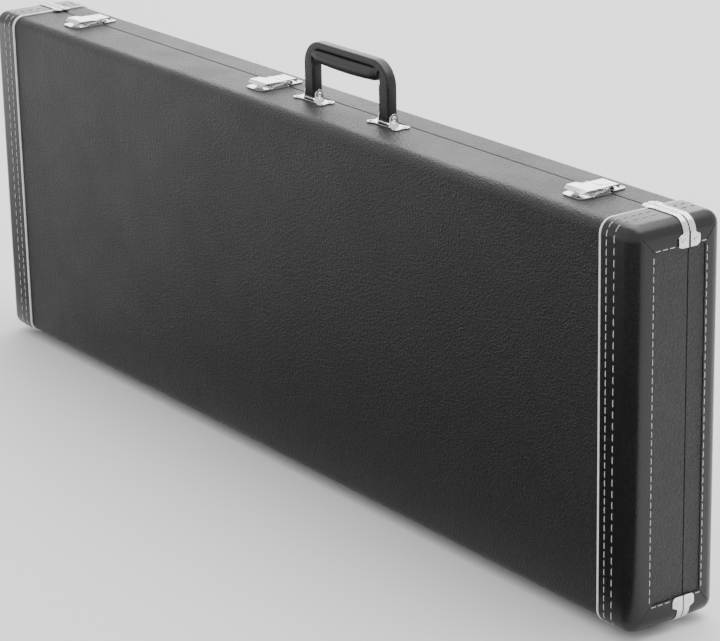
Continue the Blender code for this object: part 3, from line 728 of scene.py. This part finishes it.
def make_latch_catch(latch):
    """A two-lobed plate with a low tongue and two rivets."""
    floor, end = latch.floor, latch.link_end
    low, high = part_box(f"latch_catch_{latch.where}")
    wide, far, lobe = (high.x - low.x) / 2, high.y, 0.0044
    outline = [
        (-wide, low.y + 0.002), (-wide, low.y + 0.007),
        *arc((-0.0060, far - lobe), lobe, 180, 40, 12), *arc((0, far + 0.0018), 0.0035, 215, 325, 8),
        *arc((0.0060, far - lobe), lobe, 140, 0, 12), (wide, low.y + 0.007), (wide, low.y + 0.002),
    ]
    plate = extruded(outline, 2, floor, floor + SHEET)
    tongue = box((-0.0065, end - 0.0034, floor + 0.0004), (0.0065, end - 0.0022, floor + 0.0025))
    heads = [dome((way * 0.0060, far - lobe, floor + SHEET), (0, 0, 1), 0.0024, 0.0009)
             for way in (-1, 1)]
    latch.finish("keeper", [plate, tongue, *heads], "lid", ["catch"], 0.00025)


def make_latch(where):
    """A drawbolt latch: tray, lever, link and catch."""
    latch = Latch(where)
    make_latch_tray(latch)
    make_latch_lever(latch)
    make_latch_link(latch)
    make_latch_catch(latch)


# ---- handle ----
POSTS = [middle_of(f"handle_pin_{where}") for where, _ in ENDS]
HANDLE_Y = POSTS[0].y
HANDLE_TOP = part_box("handle_strap")[1].z
LEG_HALF_X, LEG_HALF_Y, TOP_HALF, BEND = 0.0075, 0.0055, 0.0036, 0.020


def strap_line():
    """(x, z, the normal's angle, half size across, half size in Y), left foot to right foot."""
    left, right, pin_z = POSTS[0].x, POSTS[1].x, POSTS[0].z
    high = HANDLE_TOP - TOP_HALF
    stations = []
    for angle in (80, 70, 60, 50, 40, 30, 20, 10, 0):
        turn = math.radians(angle)
        stations.append((left, pin_z - LEG_HALF_Y * math.sin(turn), 180, LEG_HALF_X,
                         LEG_HALF_Y * math.cos(turn)))
    stations.append((left, up(0.022), 180, LEG_HALF_X, LEG_HALF_Y))
    stations.append((left, up(0.030), 180, LEG_HALF_X, LEG_HALF_Y))
    steps = 14
    for i in range(steps + 1):
        share = i / steps
        angle = 180 - 90 * share
        turn = math.radians(angle)
        half = LEG_HALF_X + (TOP_HALF - LEG_HALF_X) * share
        reach = BEND - (LEG_HALF_X - TOP_HALF) * (1 - share)
        x = left + BEND - LEG_HALF_X + TOP_HALF + reach * math.cos(turn)
        stations.append((x, high - BEND + reach * math.sin(turn), angle, half, LEG_HALF_Y))
    middle = (left + right) / 2
    mirrored = [(2 * middle - x, z, 180 - a, half, y) for x, z, a, half, y in reversed(stations)]
    return stations + mirrored


def rounded_rectangle(half_a, half_b, corner, steps=5):
    """A ring of points with four round corners."""
    corner = min(corner, 0.9 * half_a, 0.9 * half_b)
    points = []
    for a, b, start in ((1, 1, 0), (-1, 1, 90), (-1, -1, 180), (1, -1, 270)):
        points += arc((a * (half_a - corner), b * (half_b - corner)), corner, start, start + 90,
                      steps)
    return points


def make_strap():
    """The wrapped strap, from foot to foot."""
    sections = []
    for x, z, angle, half, half_y in strap_line():
        turn = math.radians(angle)
        normal = Vector((math.cos(turn), 0, math.sin(turn)))
        spot = Vector((x, HANDLE_Y, z))
        sections.append([spot + a * normal + Vector((0, b, 0))
                         for a, b in rounded_rectangle(half, half_y, 0.0022)])
    piece("handle_wrapped_strap", loft(sections), STRAP, "handle",
          ["handle_strap"])


def make_grip():
    """The padded grip under the strap, with a seam along each side."""
    start, stop = POSTS[0].x + LEG_HALF_X - 0.0006, POSTS[1].x - LEG_HALF_X + 0.0006
    top = HANDLE_TOP - 2 * TOP_HALF + 0.0006
    sections = []
    steps = 40
    for i in range(steps + 1):
        share = i / steps
        bulge = math.sin(math.pi * share) ** 0.6
        end = min(share, 1 - share)
        pinch = 0.84 + 0.16 * smooth_step(end / 0.10)
        half_w = (0.0064 + 0.0014 * bulge) * pinch
        half_y = (0.0086 + 0.0009 * bulge) * pinch
        x = start + (stop - start) * share
        middle = Vector((x, HANDLE_Y, top - half_w))
        ring = []
        for k in range(28):
            a = 2 * math.pi * k / 28
            seam = 0.00035 if k in (0, 14) else 0.0
            ring.append(middle + Vector((0, (half_y - seam) * math.cos(a), half_w * math.sin(a))))
        sections.append(ring)
    grip = piece("handle_padded_grip", loft(sections), STRAP, "handle",
                 ["handle_grip"])


def make_handle():
    """The strap, its grip, their thread and the two brackets."""
    make_strap()
    make_grip()
    make_handle_thread()
    for (where, _), post in zip(ENDS, POSTS):
        make_handle_plate(where, post)


def make_handle_thread():
    """Dark thread along both edges of each leg, up into its bend."""
    rows = []
    line = strap_line()
    for way in (-1, 1):
        face = Vector((0, way, 0))
        for inner in (-1, 1):
            points = [
                (x + inner * (half - 0.0021) * math.cos(math.radians(angle)),
                 HANDLE_Y + way * LEG_HALF_Y,
                 z + inner * (half - 0.0021) * math.sin(math.radians(angle)))
                for x, z, angle, half, half_y in line if half_y > 0.0054 and half > 0.0044
            ]
            middle = (POSTS[0].x + POSTS[1].x) / 2
            for part in ([p for p in points if p[0] < middle], [p for p in points if p[0] > middle]):
                if len(part) > 2:
                    rows.append(stitches(part, lambda _, f=face: f, 0.0045, 0.0032, 0.00035))
    piece("handle_stitching", merged(rows), LOOKS["dark_thread"], "handle")


def make_handle_plate(where, post):
    """A lobed plate with two ears, its pin and its rivets."""
    low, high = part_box(f"handle_plate_{where}")
    half_x, half_y, lobe = (high.x - low.x) / 2, (high.y - low.y) / 2, 0.0042
    floor, sheet = low.z, 0.0012
    outline = []
    for a, b, start in ((1, 1, -50), (-1, 1, 50), (-1, -1, 130), (1, -1, 230)):
        centre = (post.x + a * (half_x - lobe), post.y + b * (half_y - lobe))
        outline += arc(centre, lobe, start, start + 180, 14)
        if a * b > 0:
            outline += [(post.x + a * 0.012, post.y + b * 0.0066), (post.x - a * 0.012, post.y + b * 0.0066)]
    parts = [extruded(outline, 2, floor, floor + sheet)]
    for way in (-1, 1):
        x_low, x_high = sorted((post.x + way * 0.0083, post.x + way * 0.0095))
        ear = [(post.y - 0.0062, floor + 0.0004), (post.y - 0.0050, floor + 0.0030),
               *arc((post.y, post.z), 0.0045, 175, 5, 14),
               (post.y + 0.0050, floor + 0.0030), (post.y + 0.0062, floor + 0.0004)]
        parts.append(extruded(ear, 0, x_low, x_high))
        parts.append(dome((post.x + way * 0.0095, post.y, post.z), (way, 0, 0), 0.0024, 0.0009))
        for b in (-1, 1):
            spot = (post.x + way * (half_x - lobe), post.y + b * (half_y - lobe), floor + sheet)
            parts.append(dome(spot, (0, 0, 1), 0.0024, 0.0010))
    parts.append(cylinder(post, (1, 0, 0), 0.0015, 0.0190))
    piece(f"handle_bracket_{where}", merged(parts), LOOKS["chrome"], "base",
          [f"handle_plate_{where}", f"handle_pin_{where}"], 0.00025)


# ---- inside ----
def soft_tray(name, nodes, body, y_wall, y_floor, inset, thick):
    """A plush tray: a floor against a shell's broad face, and walls that reach to y_wall."""
    low = Vector((CAVITY_LOW.x + inset, min(y_wall, y_floor), CAVITY_LOW.z + inset))
    high = Vector((CAVITY_HIGH.x - inset, max(y_wall, y_floor), CAVITY_HIGH.z - inset))
    outer = box(low, high, 0.0075, 5, 1)
    in_low = low + Vector((thick, 0, thick))
    in_high = high - Vector((thick, 0, thick))
    if y_floor < y_wall:
        in_low.y, in_high.y = y_floor + thick, y_wall + 0.02
    else:
        in_low.y, in_high.y = y_wall - 0.02, y_floor - thick
    tray = cut(outer, [box(in_low, in_high, 0.005, 5)])
    obj = piece(name, tray, LOOKS["plush"], body, nodes, 0.0009, 3)


def pillow(name, low, high, radius, nodes, body, cutters=()):
    """A block of plush with rounded edges."""
    mesh = box(low, high, radius, 5)
    if cutters:
        mesh = cut(mesh, cutters)
    obj = piece(name, mesh, LOOKS["plush"], body, nodes, 0.0008, 3)


def make_inside():
    """Linings, neck cradle and the accessory box with its flap."""
    low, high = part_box("base_lining")
    soft_tray("base_plush_lining", ["base_lining"], "base", high.y, low.y, GAP, 0.003)
    low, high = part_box("lid_lining")
    soft_tray("lid_plush_lining", ["lid_lining"], "lid", low.y, high.y, GAP, 0.003)
    low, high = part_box("neck_block")
    middle = (low.z + high.z) / 2
    notch = extruded([
        (high.y + 0.01, middle - 0.048), (high.y, middle - 0.043), (high.y - 0.016, middle - 0.036),
        *arc((high.y - 0.016, middle - 0.027), 0.006, 270, 180, 5),
        *arc((high.y - 0.016, middle + 0.027), 0.006, 180, 90, 5),
        (high.y - 0.016, middle + 0.036), (high.y, middle + 0.043), (high.y + 0.01, middle + 0.048),
    ], 0, low.x - 0.01, high.x + 0.01)
    pillow("neck_cradle", low, high, 0.005, ["neck_block"], "base", cutters=[notch])
    low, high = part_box("accessory_box")
    wall = Vector((0.003, 0.003, 0.003))
    inner = box(low + wall, Vector((high.x - 0.003, high.y + 0.02, high.z - 0.003)), 0.003, 4)
    pillow("accessory_compartment", low, high, 0.0012, ["accessory_box"], "base", cutters=[inner])
    low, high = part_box("accessory_flap")
    pillow("accessory_cover", low, high, 0.0013, ["accessory_flap"], "flap")
    low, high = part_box("flap_pull_tab")
    tab = box(low - Vector((0, 0.0002, 0)), high, 0.0005, 3)
    piece("accessory_pull_tab", tab, SMOOTH, "flap", ["flap_pull_tab"])


def make_feet():
    """Low domed rubber glides."""
    for name, _ in SIDES:
        for where, _ in ENDS:
            low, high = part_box(f"{name}_foot_{where}")
            centre = (low + high) / 2
            profile = [(0.0030, 0.0), (0.0052, 0.0003), (0.0066, 0.0012), (0.0076, 0.0028),
                       (0.0083, 0.0050), (0.0085, 0.0062), (0.0085, high.z)]
            foot = loft([
                [(centre.x + r * math.cos(a), centre.y + r * math.sin(a), z)
                 for a in (2 * math.pi * k / 32 for k in range(32))]
                for r, z in profile
            ])
            piece(f"{name}_glide_{where}", foot, LOOKS["rubber"], name,
                  [f"{name}_foot_{where}"])


def carry_over():
    """The CAD nodes that keep their shape: the hinges and the plywood lip."""
    for node, obj in frame["nodes"].items():
        look = None
        if node.startswith("hinge"):
            look = LOOKS["nickel"]
        elif node == "base_rim":
            look = LOOKS["wood"]
        if look:
            for slot in obj.material_slots:
                slot.material = look


# ---- stage ----
def make_stage():
    """A pale floor and an even white surround."""
    floor_look = Look("pale_floor", (0.90, 0.90, 0.90), 0.75, Specular_IOR_Level=0.2)
    bm = bmesh.new()
    bmesh.ops.create_grid(bm, x_segments=1, y_segments=1, size=30)
    floor = linked("floor", mesh_of(bm))
    floor.data.materials.append(floor_look.material)
    world = bpy.data.worlds.new("studio")
    bpy.context.scene.world = world
    world.use_nodes = True
    shade = world.node_tree.nodes["Background"]
    shade.inputs["Color"].default_value = (1, 1, 1, 1)
    shade.inputs["Strength"].default_value = 1.15


def make_painted_reflection_card():
    """A card on the floor that only reflections see, a painted reflection on the case's vinyl: bright at the
    left, dark from near the middle on.
    """
    look = Look("painted_reflection_card", (0.0, 0.0, 0.0), 1.0, Specular_IOR_Level=0.0)
    axes = look.nodes.new("ShaderNodeSeparateXYZ")
    look.links.new(look.place, axes.inputs["Vector"])
    # painted reflection: a glow from bright at the left to dark near the middle, seen only in the case's
    # glossy reflections
    painted_reflection_fade = look.spread(axes.outputs["X"], -2.2, -0.15, 2.20, 0.02)
    look.links.new(painted_reflection_fade, look.shader.inputs["Emission Strength"])
    look.shader.inputs["Emission Color"].default_value = (1, 1, 1, 1)
    bm = bmesh.new()
    corners = ((-4.0, -3.0), (3.2, -3.0), (3.2, FRONT - 0.03), (-4.0, FRONT - 0.03))
    bm.faces.new([bm.verts.new((x, y, 0.0012)) for x, y in corners])
    card = linked("painted_reflection_card", mesh_of(bm))
    card.data.materials.append(look.material)
    for kind in ("camera", "diffuse", "shadow", "transmission"):
        setattr(card, f"visible_{kind}", False)


def area_light(name, place, target, size, power):
    """A rectangular softbox aimed at a point."""
    data = bpy.data.lights.new(name, "AREA")
    data.shape = "RECTANGLE"
    data.size, data.size_y = size
    data.energy = power
    obj = linked(name, data)
    obj.location = place
    obj.rotation_euler = (Vector(target) - Vector(place)).to_track_quat("-Z", "Y").to_euler()


def make_lights():
    """One softbox above, and one behind and to the left."""
    area_light("top_softbox", (0.0, 0.6, 2.2), (0, 0, 0.3), (3.0, 1.6), 60)
    area_light("rear_softbox", (-2.2, 2.0, 1.3), (0, 0, 0.3), (2.5, 1.6), 40)


LENS, ROLL = 141.63, -0.0220
CAMERA_PLACE = Vector((2.1488, -1.4653, 1.0253))
CAMERA_TARGET = Vector((0.2177, -0.0985, 0.2173))


def make_camera():
    """A long lens from the front right, a little above."""
    data = bpy.data.cameras.new("camera")
    data.sensor_width = 36
    data.lens = LENS
    obj = linked("camera", data)
    ahead = (CAMERA_TARGET - CAMERA_PLACE).normalized()
    right = ahead.cross(Vector((0, 0, 1))).normalized()
    upward = right.cross(ahead)
    c, s = math.cos(ROLL), math.sin(ROLL)
    columns = (c * right + s * upward, -s * right + c * upward, -ahead)
    turn = Matrix(columns).transposed().to_4x4()
    obj.matrix_world = Matrix.Translation(CAMERA_PLACE) @ turn
    bpy.context.scene.camera = obj


def main():
    make_camera()
    for name, side in SIDES:
        make_shell(name, side)
        for where, end in ENDS:
            make_end_cap(name, side, where, end)
            make_piping(name, side, where, end)
            for level, way in (("top", 1), ("bottom", -1)):
                make_clamp(name, side, where, end, level, way)
    for where in LATCHES:
        make_latch(where)
    make_handle()
    make_inside()
    make_feet()
    carry_over()
    make_stage()
    make_painted_reflection_card()
    make_lights()


main()
bpy.context.view_layer.update()
